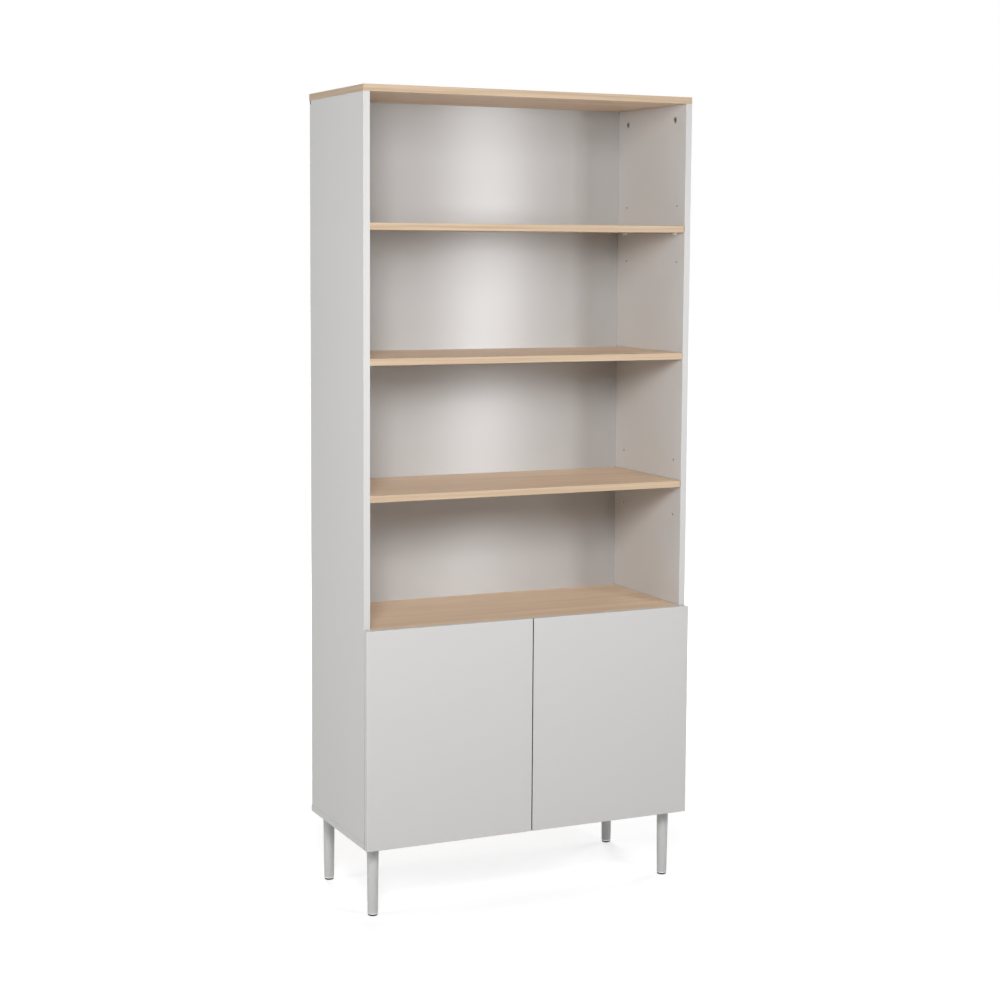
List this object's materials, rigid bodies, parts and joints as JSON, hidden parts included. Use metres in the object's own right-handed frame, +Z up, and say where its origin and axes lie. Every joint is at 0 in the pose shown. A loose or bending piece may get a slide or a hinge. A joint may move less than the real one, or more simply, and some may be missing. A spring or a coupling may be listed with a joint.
{
  "type": "bookcase with cabinet doors",
  "caption": "Tall bookcase on tapered legs: open shelves above a closed cabinet with push-to-open doors on concealed hinges, grey boards with oak shelves",
  "frame": {"origin": "on the floor, under the middle of the overall box", "axes": "+X to the right seen from the front, front toward -Y, +Z up"},
  "size_m": [0.8, 0.3574, 1.817],
  "materials": {
    "oak_decor": "satin oak decor",
    "grey_board": "satin light warm-grey lacquer",
    "back_sheet": "satin light grey foil",
    "bright_metal": "satin",
    "zinc_steel": "zinc or nickel plated",
    "grey_metal": "fine powder coat",
    "black_plastic": "matte",
    "clear_white_plastic": "milky",
    "grey_plastic": "matte",
    "black_metal": "black coat",
    "beech": "raw"
  },
  "bodies": {
    "carcass": {"adjustable_shelf_lower": "oak_decor", "adjustable_shelf_upper": "oak_decor", "back_panel_lower": "back_sheet", "back_panel_upper": "back_sheet", "bottom_panel": "grey_board", "cabinet_inner_shelf": "grey_board", "cabinet_top_shelf": "oak_decor", "cam_bolts_shelves": "zinc_steel", "cam_bolts_sides": "zinc_steel", "cam_locks_shelves": "zinc_steel", "cam_locks_sides": "zinc_steel", "fixed_middle_shelf": "oak_decor", "foot_glide_front_left": "black_plastic", "foot_glide_front_right": "black_plastic", "foot_glide_rear_left": "black_plastic", "foot_glide_rear_right": "black_plastic", "hinge_arms_left": "zinc_steel", "hinge_arms_right": "zinc_steel", "hinge_plate_screws_left": "zinc_steel", "hinge_plate_screws_right": "zinc_steel", "hinge_plates_left": "zinc_steel", "hinge_plates_right": "zinc_steel", "latch_housing_left": "grey_plastic", "latch_housing_right": "grey_plastic", "latch_screws_left": "zinc_steel", "latch_screws_right": "zinc_steel", "leg_front_left": "grey_metal", "leg_front_right": "grey_metal", "leg_insert_nuts": "zinc_steel", "leg_rear_left": "grey_metal", "leg_rear_right": "grey_metal", "leg_rings": "bright_metal", "leg_studs": "zinc_steel", "shelf_pins_cabinet": "clear_white_plastic", "shelf_pins_lower": "clear_white_plastic", "shelf_pins_upper": "clear_white_plastic", "side_panel_left": "grey_board", "side_panel_right": "grey_board", "top_panel": "oak_decor", "wall_bracket_left": "black_metal", "wall_bracket_right": "black_metal", "wall_bracket_screws": "zinc_steel", "wood_dowels": "beech"},
    "left_door": {"door_left": "grey_board", "hinge_cup_screws_left": "zinc_steel", "hinge_cups_left": "zinc_steel", "hinge_pins_left": "zinc_steel", "strike_plate_left": "zinc_steel"},
    "right_door": {"door_right": "grey_board", "hinge_cup_screws_right": "zinc_steel", "hinge_cups_right": "zinc_steel", "hinge_pins_right": "zinc_steel", "strike_plate_right": "zinc_steel"},
    "left_latch_plunger": {"latch_plunger_left": "grey_plastic"},
    "right_latch_plunger": {"latch_plunger_right": "grey_plastic"}
  },
  "joints": [
    {"name": "left_door_hinge", "type": "hinge", "parent": "carcass", "child": "left_door", "pos_m": [-0.393, -0.17325, 0.404], "axis": [0, 0, -1], "range_deg": [0, 95]},
    {"name": "right_door_hinge", "type": "hinge", "parent": "carcass", "child": "right_door", "pos_m": [0.393, -0.17325, 0.404], "axis": [0, 0, 1], "range_deg": [0, 95]},
    {"name": "left_latch_slide", "type": "slide", "parent": "carcass", "child": "left_latch_plunger", "axis": [0, -1, 0], "range_m": [0, 0.02]},
    {"name": "right_latch_slide", "type": "slide", "parent": "carcass", "child": "right_latch_plunger", "axis": [0, -1, 0], "range_m": [0, 0.02]}
  ],
  "couplings": [
    {"joint": "left_latch_slide", "follows": "left_door_hinge", "m_per_rad": 0.012},
    {"joint": "right_latch_slide", "follows": "right_door_hinge", "m_per_rad": 0.012}
  ]
}
